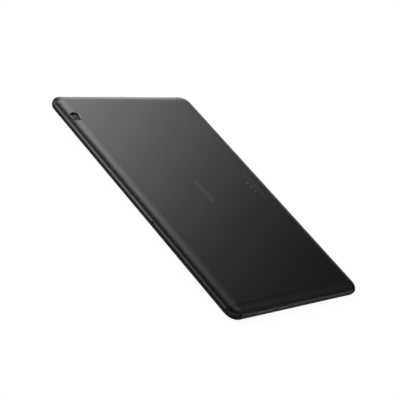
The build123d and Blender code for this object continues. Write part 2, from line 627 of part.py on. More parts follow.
def make_card_slot():
    """Memory card tray with its door, the reader around it and the ejector."""
    door = x_stadium(CARD_DOOR_Y0, CARD_DOOR_Y1, CARD_Z, CARD_DOOR_HEIGHT, 111.6, HALF_L + 1)
    door &= rounded_case(0.02, EDGE_RISE - 0.02, SEAM_Z)
    door -= x_rod(111, HALF_L + 1, EJECT_Y, CARD_Z, 0.4)
    tray = span(CARD_TRAY_X0, 111.8, CARD_TRAY_Y0, CARD_TRAY_Y1, CARD_Z - 0.6, CARD_Z + 0.6)
    tray -= span(CARD_TRAY_X0 - 1, 111.2, CARD_TRAY_Y0 + 0.3, CARD_TRAY_Y1 - 0.3,
                 CARD_Z - 0.35, CARD_Z + 1)
    tray -= span(CARD_TRAY_X0 - 1, 101, CARD_TRAY_Y0 + 1.2, CARD_TRAY_Y1 - 1.2,
                 CARD_Z - 1, CARD_Z + 1)
    parts["card_tray"] = door + tray
    x0, x1 = 93.2, 108.6
    y0, y1 = CARD_TRAY_Y0 - 0.55, CARD_TRAY_Y1 + 0.55
    reader = span(x0, x1, y0, y1, MID_Z, CARD_Z + 0.95)
    reader -= span(x0 + 0.3, x1 + 1, y0 + 0.3, y1 - 0.3, MID_Z + 0.2, CARD_Z + 0.75)
    springs = []
    for contact in range(8):
        y = CARD_TRAY_Y0 + 1.9 + contact * 1.1
        springs.append(span(x0 + 0.3, x0 + 5.5, y - 0.2, y + 0.2, MID_Z + 0.2, MID_Z + 0.35))
    parts["card_contacts"] = Compound(springs)
    rod = x_rod(97.5, 110.8, EJECT_Y, CARD_Z, 0.35)
    rod += span(97.3, 98.6, EJECT_Y - 0.7, EJECT_Y + 0.7, CARD_Z - 0.4, CARD_Z + 0.4)
    guide = span(101, 107.4, EJECT_Y - 0.96, EJECT_Y + 0.9, MID_Z, CARD_Z + 0.8)
    guide -= x_rod(100, 112, EJECT_Y, CARD_Z, 0.45)
    parts["tray_ejector_rod"] = rod
    parts["card_reader"] = reader + guide


def make_sound():
    """Two loudspeakers, their dust meshes and leads, and the microphone."""
    for name, centre in zip(("speaker_left", "speaker_right"), SPEAKER_X):
        box = span(centre - 13, centre + 13, SPEAKER_Y0, SPEAKER_Y1, MID_Z, 6.0)
        box = chamfer(box.edges().filter_by(Axis.Z), 1.2)
        box += span(centre - 8.2, centre + 8.2, SPEAKER_Y0 - 1.8, SPEAKER_Y0 + 0.5, 3.5, 5.0)
        box -= span(centre - 7.8, centre + 7.8, SPEAKER_Y0 - 2.5, SPEAKER_Y0 + 1.0, 3.7, 4.8)
        box -= Pos(centre, (SPEAKER_Y0 + SPEAKER_Y1) / 2, 5.8) * extrude(
            RectangleRounded(18.2, 10.2, 3.1), 1)
        parts[name] = box
    cones = []
    meshes = []
    for centre in SPEAKER_X:
        middle = (SPEAKER_Y0 + SPEAKER_Y1) / 2
        rim = Pos(centre, middle, 5.8) * extrude(RectangleRounded(18, 10, 3), 0.15)
        dome = Pos(centre, middle, 5.9) * extrude(RectangleRounded(12, 5, 2), 0.35, taper=30)
        cones.append(rim + dome)
        meshes.append(span(centre - 7.6, centre + 7.6, SPEAKER_Y0 - 1.75, SPEAKER_Y0 - 1.6,
                           3.72, 4.78))
    parts["speaker_cones"] = Compound(cones)
    parts["speaker_meshes"] = Compound(meshes)
    leads = []
    for wire in (0, 1):
        y = -56.2 + wire * 0.9
        leads.append(cable([(-73, y - 7.4, 3.8), (-69, y - 7.4, 3.8), (-63 - wire, y, 3.8),
                            (BOARD_X0, y, 3.8)], 0.35, 2.5))
    parts["speaker_leads"] = Compound(leads)
    mic = span(MIC_X - 2, MIC_X + 2, 75.2, 78.2, MID_Z, 4.6)
    mic -= y_rod(MIC_X, 77.2, 79, MIC_Z, 0.3)
    parts["microphone"] = mic


def make_antennas():
    """Two plastic aerial carriers with folded foil tracks, and their coaxial leads."""
    carriers = []
    tracks = []
    for x0, x1 in ((-88.0, -46.0), (44.0, 76.0)):
        carrier = span(x0, x1, 69.6, 77.0, MID_Z, 4.8)
        carrier = fillet(carrier.edges().filter_by(Axis.Z), 0.8)
        carriers.append(carrier)
        track = span(x0 + 1.5, x0 + 2.5, 70.6, 76.0, 4.8, 4.86)
        turns = int((x1 - x0 - 5) / 4)
        for turn in range(turns):
            x = x0 + 1.5 + turn * 4
            edge = 75.0 if turn % 2 == 0 else 70.6
            track += span(x, x + 5, edge, edge + 1.0, 4.8, 4.86)
            track += span(x + 4, x + 5, 70.6, 76.0, 4.8, 4.86)
        tracks.append(track)
    parts["antenna_carriers"] = Compound(carriers)
    parts["antenna_tracks"] = Compound(tracks)
    coax = [cable([(78, 61, 4.3), (78, 66, 4.3), (60, 66, 4.3), (60, 69.6, 4.3)], 0.4, 1.5),
            cable([(76, 61, 4.3), (76, 64.8, 4.3), (-67, 64.8, 4.3), (-67, 69.6, 4.3)], 0.4, 1.5)]
    parts["antenna_cables"] = Compound(coax)


make_shell()
make_front_frame()
make_glass()
make_display()
make_midframe()
make_battery()
make_main_board()
make_ribbons()
make_keys()
make_rear_camera()
make_front_camera()
make_sockets()
make_card_slot()
make_sound()
make_antennas()

os.makedirs("parts", exist_ok=True)
for name, shape in parts.items():
    export_step(shape, f"parts/{name}.step")
    print(f"{name:28s} volume {shape.volume:10.2f}  solids {len(shape.solids())}")
print(len(parts), "nodes")
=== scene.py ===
"""Looks of the tablet computer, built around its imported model. Metres, screen down on Z = 0."""

from collections import namedtuple
import json
import math

import bmesh
import bpy
from mathutils import Matrix, Vector


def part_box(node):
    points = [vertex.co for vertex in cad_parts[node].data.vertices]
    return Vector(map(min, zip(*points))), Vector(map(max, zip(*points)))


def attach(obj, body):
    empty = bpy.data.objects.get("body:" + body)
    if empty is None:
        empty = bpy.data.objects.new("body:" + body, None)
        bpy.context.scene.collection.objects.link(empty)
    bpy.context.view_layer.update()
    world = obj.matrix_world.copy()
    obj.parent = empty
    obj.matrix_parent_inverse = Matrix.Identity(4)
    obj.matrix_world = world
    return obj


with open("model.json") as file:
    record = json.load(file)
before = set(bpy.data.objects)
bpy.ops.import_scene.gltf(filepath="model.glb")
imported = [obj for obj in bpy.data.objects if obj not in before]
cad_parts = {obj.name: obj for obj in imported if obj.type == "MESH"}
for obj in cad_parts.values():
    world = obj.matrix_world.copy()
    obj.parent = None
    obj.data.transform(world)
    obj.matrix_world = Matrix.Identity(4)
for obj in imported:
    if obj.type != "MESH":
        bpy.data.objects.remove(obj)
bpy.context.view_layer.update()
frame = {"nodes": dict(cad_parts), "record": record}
MM = 0.001


def node_box(name):
    """Lowest and highest corner of a CAD node, in millimetres."""
    low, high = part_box(name)
    return low / MM, high / MM


# Places taken from the frame, in millimetres
COVER_LOW, COVER_HIGH = node_box("rear_cover")
GLASS_HIGH = node_box("cover_glass")[1]
WINDOW_LOW, WINDOW_HIGH = node_box("camera_window")
BARREL_LOW, BARREL_HIGH = node_box("camera_lens_barrel")
FRONT_LENS_LOW, FRONT_LENS_HIGH = node_box("front_camera_lens")
SENSOR_LOW, SENSOR_HIGH = node_box("light_sensor")
TONGUE_LOW, TONGUE_HIGH = node_box("usb_port_tongue")
MIC_LOW, MIC_HIGH = node_box("microphone")

# Rear camera and microphone, in millimetres and degrees
WINDOW_CENTRE = (WINDOW_LOW + WINDOW_HIGH) / 2
WINDOW_R = (WINDOW_HIGH.x - WINDOW_LOW.x) / 2
WINDOW_TILT = 8.0             # the +Y side of the ring and of its window lies lower
WINDOW_DEPTH = 0.84           # from the top of the ring to the middle of the window
RING_AXIS = Vector((0, math.sin(math.radians(WINDOW_TILT)), math.cos(math.radians(WINDOW_TILT))))
RING_CENTRE = WINDOW_CENTRE + RING_AXIS * WINDOW_DEPTH
RING_WALL_SHADE_R = 4.4            # the ring's wall is painted black beyond this radius, which also serves as painted shade for the gap round the ring
WALL_SHADE_BLUR = 0.04
RING_GLINTS = ((100.0, 24.0), (262.0, 30.0))  # painted highlights on the ring: compass angle and half width of each glint
GLINT_BLUR = 0.05
MIC_X = (MIC_LOW.x + MIC_HIGH.x) / 2
MIC_HOLE_Z = 3.85
# Radius of the painted shade round the microphone hole, and how softly it fades.
MIC_SHADE_R = 0.75
HOLE_SHADE_BLUR = 0.1


# ---------------------------------------------------------------- node helpers

class Graph:
    """Short names for the nodes of one material or of the world."""

    def __init__(self, tree):
        self.tree = tree
        tree.nodes.clear()

    def node(self, kind, **settings):
        made = self.tree.nodes.new(kind)
        for name, value in settings.items():
            setattr(made, name, value)
        return made

    def feed(self, socket, value):
        """Links a socket to another one, or sets its own value."""
        if isinstance(value, bpy.types.NodeSocket):
            self.tree.links.new(value, socket)
        else:
            socket.default_value = value

    def math(self, operation, first, second=0.0, third=0.0, clamp=False):
        made = self.node("ShaderNodeMath", operation=operation, use_clamp=clamp)
        for socket, value in zip(made.inputs, (first, second, third)):
            self.feed(socket, value)
        return made.outputs[0]

    def distance(self, first, first_centre, second, second_centre):
        """Distance from an axis, given two coordinates and the axis's own, in metres."""
        across = self.math("SUBTRACT", first, first_centre)
        along = self.math("SUBTRACT", second, second_centre)
        square = self.math("MULTIPLY_ADD", across, across, self.math("MULTIPLY", along, along))
        return self.math("SQRT", square)

    def place(self):
        """The point being shaded, in metres in the tablet's own frame."""
        return self.node("ShaderNodeTexCoord").outputs["Object"]

    def axes(self, vector):
        made = self.node("ShaderNodeSeparateXYZ")
        self.feed(made.inputs[0], vector)
        return made.outputs

    def stretched(self, vector, scale):
        made = self.node("ShaderNodeMapping")
        self.feed(made.inputs["Vector"], vector)
        made.inputs["Scale"].default_value = scale
        return made.outputs[0]

    def noise(self, vector, scale, detail=3.0, rough=0.5):
        made = self.node("ShaderNodeTexNoise")
        self.feed(made.inputs["Vector"], vector)
        made.inputs["Scale"].default_value = scale
        made.inputs["Detail"].default_value = detail
        made.inputs["Roughness"].default_value = rough
        return made.outputs["Fac"]

    def spread(self, value, low, high, out_low, out_high):
        """Maps a range of values to another, clamped."""
        made = self.node("ShaderNodeMapRange", clamp=True)
        for socket, number in zip(made.inputs, (value, low, high, out_low, out_high)):
            self.feed(socket, number)
        return made.outputs[0]

    def blend(self, amount, first, second):
        """Mixes two colours."""
        made = self.node("ShaderNodeMix", data_type="RGBA")
        self.feed(made.inputs["Factor"], amount)
        self.feed(made.inputs[6], first)
        self.feed(made.inputs[7], second)
        return made.outputs[2]

    def bump(self, height, distance, strength=1.0, under=None):
        made = self.node("ShaderNodeBump")
        made.inputs["Strength"].default_value = strength
        made.inputs["Distance"].default_value = distance
        self.feed(made.inputs["Height"], height)
        if under is not None:
            self.feed(made.inputs["Normal"], under)
        return made.outputs[0]


def grey(level, alpha=1.0):
    return (level, level, level, alpha)


def new_material(name):
    made = bpy.data.materials.new(name)
    made.use_nodes = True
    graph = Graph(made.node_tree)
    shader = graph.node("ShaderNodeBsdfPrincipled")
    output = graph.node("ShaderNodeOutputMaterial")
    made.node_tree.links.new(shader.outputs[0], output.inputs["Surface"])
    return made, graph, shader.inputs


def moulded(name, colour, rough=0.45, vary=0.12, texture=0.02, pitch=0.25, metallic=0.0):
    """Moulded or pressed surface: fine texture, faint blotches and uneven gloss.
    texture is the height of the grain and pitch its width, in millimetres."""
    made, graph, put = new_material(name)
    place = graph.place()
    blotch = graph.noise(place, 90.0, 4.0)
    grain = graph.noise(place, 1.0 / (pitch * MM), 2.0)
    darker = tuple(c * (1 - vary) for c in colour[:3]) + (1.0,)
    lighter = tuple(min(1.0, c * (1 + vary)) for c in colour[:3]) + (1.0,)
    mixed = graph.math("ADD", graph.math("MULTIPLY", blotch, 0.7),
                       graph.math("MULTIPLY", grain, 0.3))
    graph.feed(put["Base Color"], graph.blend(mixed, darker, lighter))
    graph.feed(put["Roughness"], graph.spread(mixed, 0.3, 0.7, rough * 0.85, rough * 1.15))
    graph.feed(put["Metallic"], metallic)
    graph.feed(put["Normal"], graph.bump(grain, texture * MM, 0.35))
    return made


# ---------------------------------------------------------------- camera, light, floor

VIEW_AZIMUTH = 118.645      # degrees round from +X, where the camera stands
VIEW_HEIGHT = 27.697        # degrees above the table
VIEW_ROLL = 34.745
VIEW_DISTANCE = 0.9528
VIEW_TARGET = Vector((-0.0001, 0.0042, 0.0))
LENS_MM = 112.95


def direction(azimuth, height):
    """Unit vector at a compass angle and a height above the table, in degrees."""
    turn, lift = math.radians(azimuth), math.radians(height)
    return Vector((math.cos(lift) * math.cos(turn), math.cos(lift) * math.sin(turn),
                   math.sin(lift)))


def make_camera():
    data = bpy.data.cameras.new("camera")
    data.lens = LENS_MM
    data.sensor_width = 36.0
    camera = bpy.data.objects.new("camera", data)
    bpy.context.scene.collection.objects.link(camera)
    back = direction(VIEW_AZIMUTH, VIEW_HEIGHT)
    level = back.cross(Vector((0, 0, -1))).normalized()
    upright = back.cross(level)
    roll = math.radians(VIEW_ROLL)
    right = level * math.cos(roll) + upright * math.sin(roll)
    up = upright * math.cos(roll) - level * math.sin(roll)
    turn = Matrix((right, up, back)).transposed().to_4x4()
    camera.matrix_world = Matrix.Translation(VIEW_TARGET + back * VIEW_DISTANCE) @ turn
    bpy.context.scene.camera = camera


# A soft strip light: compass angle and height above the table of its middle, how it is
# turned, its half length and half width, all in degrees, and its brightness.
# The real studio isn't known. All but key_edge, key_side_broad and from_below began as a
# least-squares fit to the photograph's brightness and were then rounded.
Strip = namedtuple("Strip", "azimuth height roll length width strength")
STUDIO = {
    "back_main": Strip(-47, 28, -36, 6, 8.5, 0.46),
    "back_upper": Strip(-36, 47, 44, 11.5, 5.5, 0.55),
    "back_right": Strip(-13.5, 42, 30, 17, 7, 0.22),
    "far_edge_high": Strip(-58.5, 7.5, 0, 11, 4, 0.32),
    "far_edge_tall": Strip(-51.5, -6, -25, 4.5, 22.5, 0.52),
    "far_edge_low": Strip(-64.5, -21, 36, 29, 9, 0.30),
    "socket_end": Strip(32, 5, -67, 14.5, 15.5, 0.41),
    "strip_flank_low": Strip(59.5, -5, -8, 3.5, 12.5, 0.38),
    "strip_flank_high": Strip(56.5, 22.5, 21, 5, 12, 0.18),
    "key_flank": Strip(-124, 10.5, -9, 5.5, 13.5, 0.11),
    "key_edge": Strip(-75.5, 32.5, 0, 4, 4, 0.01),
    "overhead": Strip(-80.5, 57, 66, 15, 10.5, 0.09),
    "behind_camera_low": Strip(113.5, -6, 0, 27, 24.5, 0.03),
    "key_side_broad": Strip(170, 30, 0, 28, 26, 0.04),
    "from_below": Strip(40, -72, 0, 20, 12, 0.14),
}
ROOM_LEVEL = 0.006
LIGHT_CUT = 0.2               # a light fades out this near the far side of the studio


def make_world():
    """Dark studio with soft strip lights all round."""
    world = bpy.data.worlds.new("studio")
    bpy.context.scene.world = world
    world.use_nodes = True
    graph = Graph(world.node_tree)
    toward = graph.node("ShaderNodeTexCoord").outputs["Generated"]

    def along(axis, width):
        made = graph.node("ShaderNodeVectorMath", operation="DOT_PRODUCT")
        graph.feed(made.inputs[0], toward)
        made.inputs[1].default_value = axis / width
        return made.outputs["Value"]

    total = ROOM_LEVEL
    for light in STUDIO.values():
        centre = direction(light.azimuth, light.height)
        level = direction(light.azimuth + 90, 0)
        upright = centre.cross(level)
        turn = math.radians(light.roll)
        reach = math.sin(math.radians(light.length))
        depth = math.sin(math.radians(light.width))
        first = along(level * math.cos(turn) + upright * math.sin(turn), reach)
        second = along(upright * math.cos(turn) - level * math.sin(turn), depth)
        square = graph.math("MULTIPLY_ADD", first, first, graph.math("MULTIPLY", second, second))
        glow = graph.math("EXPONENT", graph.math("MULTIPLY", square, -0.5))
        front = graph.math("MULTIPLY", along(centre, LIGHT_CUT), glow)
        front = graph.math("MINIMUM", graph.math("MAXIMUM", front, 0.0), glow)
        total = graph.math("MULTIPLY_ADD", front, light.strength, total)
    background = graph.node("ShaderNodeBackground")
    graph.feed(background.inputs["Color"], total)
    output = graph.node("ShaderNodeOutputWorld")
    world.node_tree.links.new(background.outputs[0], output.inputs["Surface"])


FLOOR_SIZE = 12.0
FLOOR_GAP = 0.0002            # keeps the glass clear of the floor
FLOOR_GLOW = 0.95


def make_floor():
    """Pale seamless table top, larger than the view."""
    bpy.ops.mesh.primitive_plane_add(size=FLOOR_SIZE, location=(0, 0, -FLOOR_GAP))
    floor = bpy.context.object
    floor.name = "floor"
    made, graph, put = new_material("floor_paper")
    tone = graph.noise(graph.place(), 3.0, 2.0)
    graph.feed(put["Base Color"], graph.blend(tone, grey(0.86), grey(0.88)))
    put["Roughness"].default_value = 0.9
    put["Emission Color"].default_value = grey(1.0)
    put["Emission Strength"].default_value = FLOOR_GLOW
    floor.data.materials.append(made)
    floor.visible_glossy = False
    floor.visible_diffuse = False


# ---------------------------------------------------------------- materials

SEAM_WEAR = 0.25              # height of the worn lip, in millimetres
HAIR_STRETCH = (0.035, 1.0, 1.0)
GRAIN_HEIGHT = 0.002


def cover_metal(name, level, rough=0.15, hair=0.35, hole=None):
    """Dark anodised metal: hairline along X, cloudy gloss, worn lip at the seam.
    hole is the X, Z and radius of a hole through a long flank; round it the colour is painted
    near black as shade of the hole."""
    made, graph, put = new_material(name)
    place = graph.place()
    x, y, z = graph.axes(place)
    hairline = graph.noise(graph.stretched(place, HAIR_STRETCH), 9000.0, 2.0)
    grit = graph.noise(place, 6000.0, 2.0)
    cloud = graph.noise(place, 22.0, 4.0, 0.55)
    lip = graph.spread(z, (COVER_LOW.z + 0.02) * MM, (COVER_LOW.z + SEAM_WEAR) * MM, 1.0, 0.0)
    patches = graph.spread(graph.noise(place, 260.0, 4.0), 0.5, 0.62, 0.0, 1.0)
    worn = graph.math("MULTIPLY", lip, patches)
    mixed = graph.math("ADD", graph.math("MULTIPLY", hairline, 0.5),
                       graph.math("MULTIPLY", cloud, 0.5))
    base = graph.blend(mixed, grey(level * 0.97), grey(level * 1.03))
    base = graph.blend(worn, base, grey(min(1.0, level * 1.5)))
    if hole:
        hole_x, hole_z, radius = hole
        # Painted shade: the colour goes near black round the microphone hole, standing for the
        # shade inside it.
        reach = graph.distance(x, hole_x * MM, z, hole_z * MM)
        hole_shade = graph.spread(reach, radius * MM, (radius + HOLE_SHADE_BLUR) * MM, 1.0, 0.0)
        base = graph.blend(hole_shade, base, grey(0.01))
    graph.feed(put["Base Color"], base)
    gloss = graph.math("ADD", graph.math("MULTIPLY", cloud, 0.6),
                       graph.math("MULTIPLY", grit, 0.4))
    graph.feed(put["Roughness"], graph.spread(gloss, 0.3, 0.7, rough - 0.012, rough + 0.012))
    put["Metallic"].default_value = 1.0
    fine = graph.bump(hairline, GRAIN_HEIGHT * MM, hair)
    graph.feed(put["Normal"], graph.bump(grit, GRAIN_HEIGHT * MM, 0.2, fine))
    return made


def cover_glass_material():
    """Clear hard glass with faint finger smears in its gloss."""
    made, graph, put = new_material("cover_glass")
    place = graph.place()
    smear = graph.noise(graph.stretched(place, (1.0, 0.35, 1.0)), 60.0, 5.0, 0.6)
    spots = graph.noise(place, 900.0, 3.0)
    film = graph.math("MULTIPLY", graph.spread(smear, 0.45, 0.75, 0.0, 1.0), spots)
    graph.feed(put["Roughness"], graph.spread(film, 0.0, 0.6, 0.015, 0.09))
    put["Base Color"].default_value = (0.97, 0.98, 0.98, 1.0)
    put["Transmission Weight"].default_value = 1.0
    put["IOR"].default_value = 1.51
    return made


PIXEL_HALF = 0.08             # half pitch of the display's pixels, in millimetres
GRID_GAIN = 0.48
THREAD_HALF = 0.1             # half pitch of the woven mesh


def display_material():
    """Switched-off display: near black with a faint blue cast and a fine pixel grid."""
    made, graph, put = new_material("lcd_glass")
    place = graph.place()
    x, y, z = graph.axes(place)
    across = graph.math("PINGPONG", x, PIXEL_HALF * MM)
    along = graph.math("PINGPONG", y, PIXEL_HALF * MM)
    grid = graph.math("MULTIPLY", graph.math("ADD", across, along), GRID_GAIN / (PIXEL_HALF * MM))
    cloud = graph.noise(place, 15.0, 3.0)
    tint = graph.blend(graph.math("MULTIPLY", grid, cloud), (0.006, 0.007, 0.009, 1),
                       (0.012, 0.014, 0.018, 1))
    graph.feed(put["Base Color"], tint)
    graph.feed(put["Roughness"], graph.spread(cloud, 0.3, 0.7, 0.28, 0.36))
    return made


def weave_material(name, level):
    """Fine woven dust mesh."""
    made, graph, put = new_material(name)
    place = graph.place()
    x, y, z = graph.axes(place)
    warp = graph.math("PINGPONG", x, THREAD_HALF * MM)
    weft = graph.math("PINGPONG", z, THREAD_HALF * MM)
    thread = graph.math("MULTIPLY", graph.math("MAXIMUM", warp, weft), 1 / (THREAD_HALF * MM))
    graph.feed(put["Base Color"], graph.blend(thread, grey(level * 0.3), grey(level * 1.6)))
    graph.feed(put["Roughness"], graph.spread(thread, 0.0, 1.0, 0.8, 0.5))
    graph.feed(put["Normal"], graph.bump(thread, 0.03 * MM, 0.6))
    return made


def coated_lens(name, tint, rough=0.03):
    """Deep black lens with a thin coloured coating."""
    made, graph, put = new_material(name)
    place = graph.place()
    rings = graph.noise(place, 500.0, 2.0)
    graph.feed(put["Base Color"], graph.blend(rings, (0.002, 0.002, 0.003, 1.0), tint))
    graph.feed(put["Roughness"], graph.spread(rings, 0.3, 0.7, rough, rough * 1.6))
    put["Coat Weight"].default_value = 1.0
    put["Coat Roughness"].default_value = 0.02
    put["Coat Tint"].default_value = (0.75, 1.0, 0.85, 1.0)
    return made


def ring_metal():
    """Dark ring of the rear camera: outer wall painted black, which also serves as painted shade
    for the gap round the ring, and a dull land with two painted highlights, arcs coloured as
    polished metal.
    """
    made, graph, put = new_material("ring")
    place = graph.place()
    x, y, z = graph.axes(place)
    hub = RING_CENTRE * MM
    across = graph.math("SUBTRACT", x, hub.x)
    along = graph.math("SUBTRACT", y, hub.y)
    reach = graph.distance(x, hub.x, y, hub.y)
    # Painted shade: beyond this radius the wall is black and dielectric, a black finish that also
    # stands for the dark gap round the ring.
    black_wall_and_shade = graph.spread(reach, RING_WALL_SHADE_R * MM, (RING_WALL_SHADE_R + WALL_SHADE_BLUR) * MM, 0.0, 1.0)
    # Painted highlights: two arcs of the land get a bright polished-metal colour, standing for
    # glints.
    painted_glints = 0.0
    for turn, width in RING_GLINTS:
        toward = direction(turn, 0)
        facing = graph.math("MULTIPLY_ADD", across, toward.x,
                            graph.math("MULTIPLY", along, toward.y))
        share = graph.math("DIVIDE", facing, reach)
        edge = math.cos(math.radians(width))
        glint = graph.spread(share, edge - GLINT_BLUR, edge + GLINT_BLUR, 0.0, 1.0)
        painted_glints = graph.math("ADD", painted_glints, glint)
    dull = graph.math("SUBTRACT", 1.0, painted_glints, clamp=True)
    turning = graph.noise(graph.stretched(place, (1.0, 1.0, 4.0)), 5000.0, 2.0)
    land_and_glints = graph.blend(dull, graph.blend(turning, grey(0.84), grey(0.9)), grey(0.10))
    graph.feed(put["Base Color"], graph.blend(black_wall_and_shade, land_and_glints, grey(0.02)))
    graph.feed(put["Metallic"], graph.math("SUBTRACT", 1.0, black_wall_and_shade))
    graph.feed(put["Roughness"], graph.spread(turning, 0.3, 0.7, 0.10, 0.16))
    return made


def clear_glue():
    """Clear bond between the glass and the display."""
    made, graph, put = new_material("optical_bond")
    haze = graph.noise(graph.place(), 200.0, 3.0)
    graph.feed(put["Roughness"], graph.spread(haze, 0.3, 0.7, 0.01, 0.03))
    put["Transmission Weight"].default_value = 1.0
    put["IOR"].default_value = 1.49
    return made


def window_glass():
    """Thin clear cover of the rear camera."""
    made, graph, put = new_material("camera_glass")
    dust = graph.noise(graph.place(), 4000.0, 3.0)
    graph.feed(put["Roughness"], graph.spread(dust, 0.45, 0.75, 0.01, 0.06))
    put["Transmission Weight"].default_value = 1.0
    put["IOR"].default_value = 1.52
    return made


# Moulded, pressed and printed finishes, by material slot or by the piece they belong to
PLAIN_FINISHES = {
    "black_plastic": dict(colour=(0.012, 0.012, 0.013), rough=0.38),
    "frame_plastic": dict(colour=(0.26, 0.26, 0.265), rough=0.3, metallic=0.6),
    "adhesive": dict(colour=(0.02, 0.02, 0.02), rough=0.8),
    "film": dict(colour=(0.8, 0.8, 0.78), rough=0.4),
    "sheet_steel": dict(colour=(0.55, 0.55, 0.54), rough=0.3, vary=0.1, texture=0.01,
                        pitch=0.2, metallic=1.0),
    "magnesium": dict(colour=(0.35, 0.35, 0.36), rough=0.5, vary=0.15, texture=0.03,
                      pitch=0.3, metallic=1.0),
    "screw_steel": dict(colour=(0.12, 0.12, 0.13), rough=0.35, vary=0.2, texture=0.01,
                        pitch=0.1, metallic=1.0),
    "battery_pouch": dict(colour=(0.5, 0.5, 0.52), rough=0.35, vary=0.1, texture=0.05,
                          pitch=1.5, metallic=0.9),
    "board": dict(colour=(0.01, 0.07, 0.035), rough=0.35),
    "chip": dict(colour=(0.02, 0.02, 0.02), rough=0.5),
    "connector": dict(colour=(0.6, 0.55, 0.45), rough=0.5),
    "ribbon": dict(colour=(0.30, 0.12, 0.02), rough=0.35),
    "wire": dict(colour=(0.05, 0.05, 0.05), rough=0.5),
    "gold": dict(colour=(0.80, 0.55, 0.20), rough=0.3, vary=0.1, texture=0.01, pitch=0.1,
                 metallic=1.0),
    "print": dict(colour=(0.006, 0.006, 0.007), rough=0.3, vary=0.2, texture=0.002, pitch=0.4),
}
COVER_LEVEL = 0.41            # how much light the anodised metal reflects


def make_looks():
    """Every finish, by its material slot or by the piece it belongs to."""
    looks = {name: moulded(name, **settings) for name, settings in PLAIN_FINISHES.items()}
    hole = (MIC_X, MIC_HOLE_Z, MIC_SHADE_R)
    looks.update({
        "cover_metal": cover_metal("cover_metal", COVER_LEVEL),
        "strip_plastic": cover_metal("strip_plastic", COVER_LEVEL, hair=0.1, hole=hole),
        "key_metal": cover_metal("key_metal", 0.62, rough=0.12, hair=0.2),
        "back_mark": cover_metal("back_mark", 0.8, rough=0.24, hair=0.1),
        "cover_glass": cover_glass_material(),
        "optical_bond": clear_glue(),
        "lcd_glass": display_material(),
        "ring": ring_metal(),
        "camera_glass": window_glass(),
        "lens": coated_lens("lens", (0.012, 0.07, 0.04, 1.0)),
        "mesh": weave_material("mesh", 0.05),
    })
    return looks


NODE_LOOKS = {"front_frame": "frame_plastic", "optical_adhesive": "optical_bond",
              "camera_lens_barrel": "black_plastic"}


def paint_nodes(looks):
    """Gives every node of the frame the finish of its material slot."""
    for part in frame["record"]["subparts"]:
        name = part["node"]
        node = frame["nodes"][name]
        node.data.materials.clear()
        node.data.materials.append(looks[NODE_LOOKS.get(name, part["material_slot"])])


# ---------------------------------------------------------------- pieces, in millimetres

WELD = 1e-5                   # points nearer than this are one point
SHARP_ANGLE = 35.0
TURN_STEPS = 96
PRINT_THICK = 0.005
PRINT_DEPTH = 0.012           # how far the border lies inside the back face of the glass

MARK_CENTRE = (1.2, 4.3)
MARK_HALF = (10.8, 2.0)
MARK_STROKE = 0.75
DASH_HALF = 0.28
DASH_GAP = 0.9
FINE_ROWS = ((-62.7, -15.3, (3.2, 1.4, 4.0, 2.2, 1.1, 3.4, 1.8, 4.4, 1.2, 2.6)),
             (-60.4, -13.0, (2.4, 3.8, 1.3, 4.2, 2.0, 2.8, 1.6, 3.6)))
DOT_X = (-4.0, 1.0, 6.0)
DOT_Y = -55.6
DOT_R = 1.1

BORDER_INSET = 0.25
BORDER_CORNER = 7.0
ACTIVE_HALF_X = 103.4
ACTIVE_HALF_Y = 64.6
ACTIVE_CORNER = 0.6
SHEET_LAP = 0.5               # how far the display's front sheet reaches under the border
FRONT_OPENING_R = 1.45
SENSOR_OPENING_R = 0.9

BAFFLE_SEAT = 0.01
BAFFLE_LIP = 0.06
BAFFLE_STEPS = 4
BAFFLE_R = 1.93
BAFFLE_LAND = 0.3
BAFFLE_TREAD = 0.24
BAFFLE_DROP = 0.22
BAFFLE_THROAT_R = 0.86
REAR_LENS_R = 1.5
REAR_LENS_SEAT = 0.12
REAR_LENS_RISE = 0.36
WINDOW_INSET = 0.03
WINDOW_OPENING_R = 1.9
WINDOW_PRINT_Z = -0.195       # from the middle of the window to the print on its back
FRONT_LENS_R = 0.56
FRONT_LENS_SEAT = 0.39
FRONT_LENS_RISE = 0.2

PINS = 5
PIN_PITCH = 0.65
PIN_HALF = 0.16
PIN_CORNER = 0.05
PIN_THICK = 0.02
PIN_X0 = 109.35
PIN_X1 = 112.15
PIN_Z = 4.7


def add_piece(name, mesh, material, body):
    """Puts a mesh in millimetres into the scene as a piece that rides on a body."""
    shape = bmesh.new()
    shape.from_mesh(mesh)
    bmesh.ops.remove_doubles(shape, verts=shape.verts, dist=WELD)
    bmesh.ops.recalc_face_normals(shape, faces=shape.faces)
    shape.to_mesh(mesh)
    shape.free()
    mesh.transform(Matrix.Scale(MM, 4))
    mesh.materials.append(material)
    for face in mesh.polygons:
        face.use_smooth = True
    mesh.set_sharp_from_angle(angle=math.radians(SHARP_ANGLE))
    piece = bpy.data.objects.new(name, mesh)
    bpy.context.scene.collection.objects.link(piece)
    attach(piece, body)
    return piece


def turned(name, profile, x, y, material, body, closed=True):
    """A piece turned about an upright axis. The profile is (radius, height) pairs."""
    shape = bmesh.new()
    points = [shape.verts.new((radius, 0, height)) for radius, height in profile]
    edges = [shape.edges.new(pair) for pair in zip(points, points[1:])]
    if closed:
        edges.append(shape.edges.new((points[-1], points[0])))
    bmesh.ops.spin(shape, geom=points + edges, cent=(0, 0, 0), axis=(0, 0, 1),
                   angle=2 * math.pi, steps=TURN_STEPS, use_duplicate=False)
    mesh = bpy.data.meshes.new(name)
    shape.to_mesh(mesh)
    shape.free()
    mesh.transform(Matrix.Translation((x, y, 0)))
    return add_piece(name, mesh, material, body)


